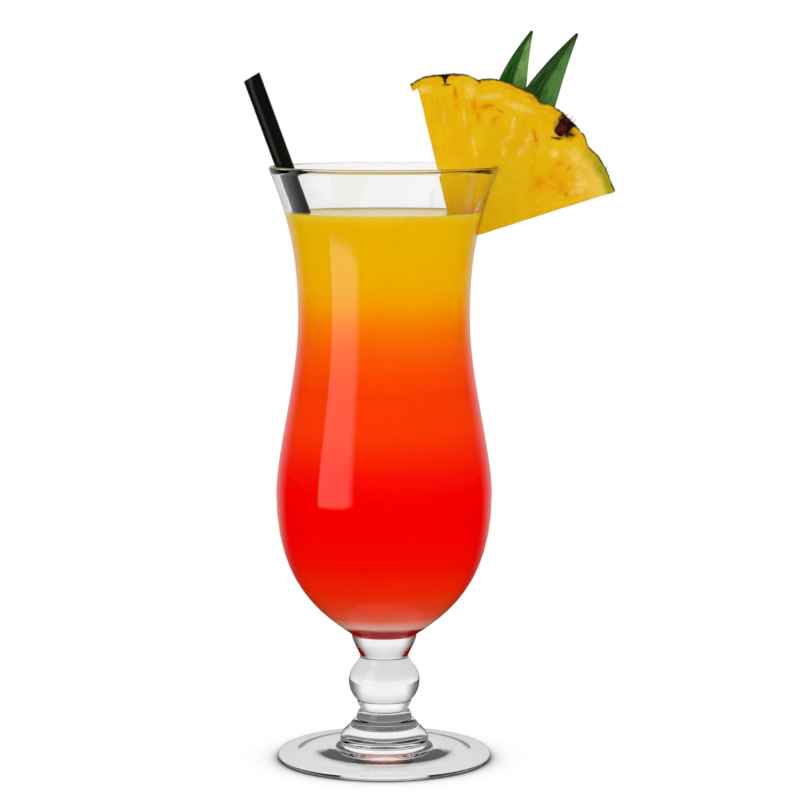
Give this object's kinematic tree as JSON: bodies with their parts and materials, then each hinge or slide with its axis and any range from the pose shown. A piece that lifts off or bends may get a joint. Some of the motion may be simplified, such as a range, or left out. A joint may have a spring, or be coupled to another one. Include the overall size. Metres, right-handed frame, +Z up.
{
  "type": "hurricane glass",
  "caption": "Tall footed hurricane glass with a knopped stem and ringed foot, filled with a two-tone drink, with a straight straw and a pineapple wedge with leaves on its rim.",
  "frame": {"origin": "middle of the ring that the foot rests on, on the glass's own axis, at the height of the table", "axes": "+Z up along the glass's axis; +X towards the side of the rim where the pineapple wedge hangs, opposite the straw; -Y towards the viewer, who sees the wedge's flat face"},
  "size_m": [0.1274, 0.0786, 0.252],
  "materials": {
    "clear_glass": "clear fire-polished soda-lime glass",
    "red_drink": null,
    "yellow_drink": null,
    "black_straw": "smooth extruded black plastic",
    "pineapple_flesh": "wet fibrous fruit flesh",
    "pineapple_rind": "rough olive fruit rind",
    "withered_blossom": "dry corky brown",
    "crown_leaf": "waxy green leaf"
  },
  "bodies": {
    "glass": {"bowl": "clear_glass", "stem": "clear_glass", "foot": "clear_glass", "grenadine_layer": "red_drink", "juice_layer": "yellow_drink"},
    "straw": {"straw": "black_straw"},
    "pineapple_wedge": {"wedge_flesh": "pineapple_flesh", "wedge_rind": "pineapple_rind", "blossom_eyes": "withered_blossom"},
    "leaf_left": {"leaf_left": "crown_leaf"},
    "leaf_right": {"leaf_right": "crown_leaf"}
  },
  "joints": [
    {"name": "straw_lift", "type": "slide", "parent": "glass", "child": "straw", "axis": [-0.342, 0, 0.9397], "range_m": [0, 0.165]},
    {"name": "wedge_lift", "type": "slide", "parent": "glass", "child": "pineapple_wedge", "axis": [0.3746, 0, 0.9272], "range_m": [0, 0.03]},
    {"name": "leaf_left_pull", "type": "slide", "parent": "pineapple_wedge", "child": "leaf_left", "axis": [0.3437, 0, 0.9391], "range_m": [0, 0.012]},
    {"name": "leaf_right_pull", "type": "slide", "parent": "pineapple_wedge", "child": "leaf_right", "axis": [0.506, 0, 0.8625], "range_m": [0, 0.012]}
  ]
}
